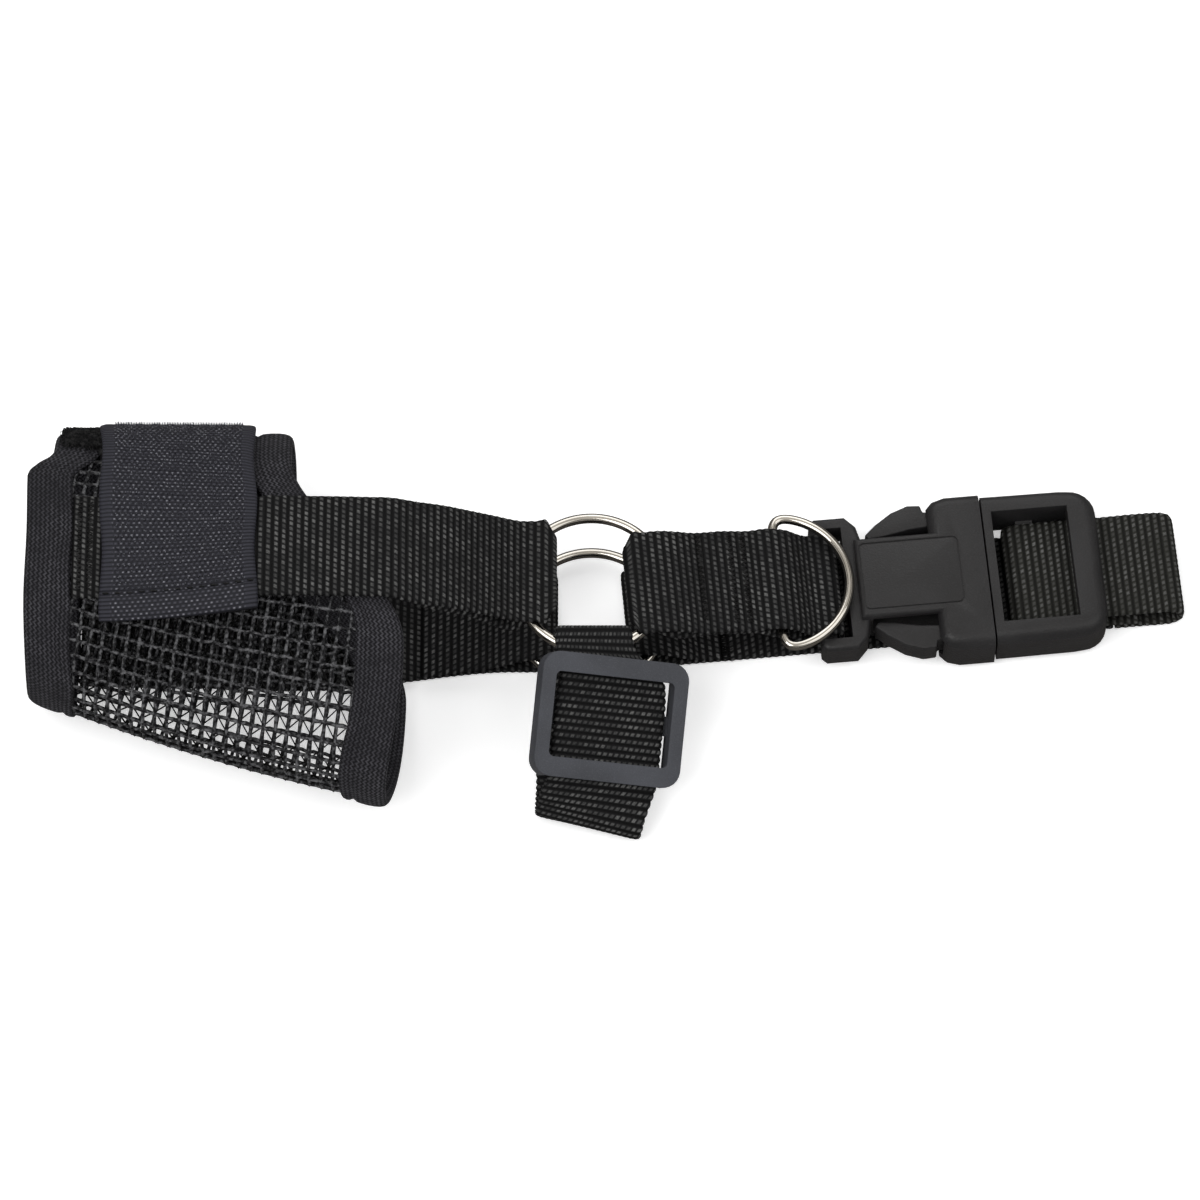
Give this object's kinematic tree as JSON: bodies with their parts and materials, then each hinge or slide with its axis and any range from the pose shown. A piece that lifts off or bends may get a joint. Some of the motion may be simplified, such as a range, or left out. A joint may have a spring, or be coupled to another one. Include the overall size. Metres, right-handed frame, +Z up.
{
  "type": "head halter",
  "caption": "Adjustable head halter: an open-ended mesh muzzle band with hook-and-loop closure, joined by rings to a buckled neck strap and a throat strap.",
  "frame": {"origin": "middle of the outline on the surface that the halter lies on", "axes": "+X from the nose opening to the neck end, +Y towards the top of the muzzle, +Z up off the surface with the left side uppermost"},
  "size_m": [0.2655, 0.0945, 0.0439],
  "materials": {
    "mesh": "matte",
    "binding": "matte",
    "loop_pile": "matte",
    "hook_tape": "matte",
    "webbing": "matte",
    "thread": "matte",
    "nickel": "polished",
    "acetal": "satin",
    "slider_plastic": "matte"
  },
  "bodies": {
    "muzzle": {"muzzle_mesh": "mesh", "front_binding": "binding", "rear_binding": "binding", "loop_tape": "loop_pile", "hook_tape_base": "hook_tape", "left_cheek_strap": "webbing", "right_cheek_strap": "webbing", "cheek_tacks": "thread"},
    "flap": {"hook_flap": "hook_tape", "hem_stitches": "thread"},
    "ring_left": {"left_ring": "nickel"},
    "ring_right": {"right_ring": "nickel"},
    "collar": {"left_neck_strap": "webbing", "right_neck_strap": "webbing", "neck_tacks": "thread", "buckle_housing": "acetal"},
    "lead_dee": {"d_ring": "nickel"},
    "plug": {"buckle_plug": "acetal", "strap_end_loop": "webbing"},
    "arm_upper": {"latch_arm_upper": "acetal"},
    "arm_lower": {"latch_arm_lower": "acetal"},
    "throat": {"throat_strap": "webbing", "throat_tacks": "thread"},
    "slider": {"throat_slider": "slider_plastic"}
  },
  "joints": [
    {"name": "flap_open", "type": "hinge", "parent": "muzzle", "child": "flap", "pos_m": [-0.0985, 0.0464, 0.02085], "axis": [-1, 0, 0], "range_deg": [0, 110]},
    {"name": "left_ring_turn", "type": "hinge", "parent": "muzzle", "child": "ring_left", "pos_m": [-0.003, 0.0075, 0.0215], "axis": [0, 0, 1], "continuous": true},
    {"name": "right_ring_turn", "type": "hinge", "parent": "muzzle", "child": "ring_right", "pos_m": [-0.003, 0.0075, 0.00295], "axis": [0, 0, 1], "continuous": true},
    {"name": "collar_swing", "type": "hinge", "parent": "muzzle", "child": "collar", "pos_m": [-0.003, 0.0075, 0], "axis": [0, 0, 1], "range_deg": [-5, 30]},
    {"name": "dee_swing", "type": "hinge", "parent": "collar", "child": "lead_dee", "pos_m": [0.03982, 0.01147, 0.0134], "axis": [0.0924, -0.9957, 0], "range_deg": [0, 135]},
    {"name": "plug_pull", "type": "slide", "parent": "collar", "child": "plug", "axis": [0.9957, 0.0924, 0], "range_m": [0, 0.03], "deforming": ["latch_arm_upper", "latch_arm_lower"]},
    {"name": "upper_arm_squeeze", "type": "hinge", "parent": "plug", "child": "arm_upper", "pos_m": [0.08492, 0.02972, 0.0075], "axis": [0, 0, 1], "range_deg": [0, 8], "stiffness_Nm_per_rad": 0.2},
    {"name": "lower_arm_squeeze", "type": "hinge", "parent": "plug", "child": "arm_lower", "pos_m": [0.08751, 0.00184, 0.0075], "axis": [0, 0, 1], "range_deg": [-8, 0], "stiffness_Nm_per_rad": 0.2},
    {"name": "throat_swing", "type": "hinge", "parent": "muzzle", "child": "throat", "pos_m": [-0.003, 0.0075, 0], "axis": [0, 0, 1], "range_deg": [-5, 5]},
    {"name": "slider_shift", "type": "slide", "parent": "throat", "child": "slider", "axis": [-0.1007, -0.9265, -0.3625], "range_m": [0, 0.004]}
  ],
  "couplings": [
    {"joint": "lower_arm_squeeze", "follows": "upper_arm_squeeze", "ratio": -1}
  ]
}
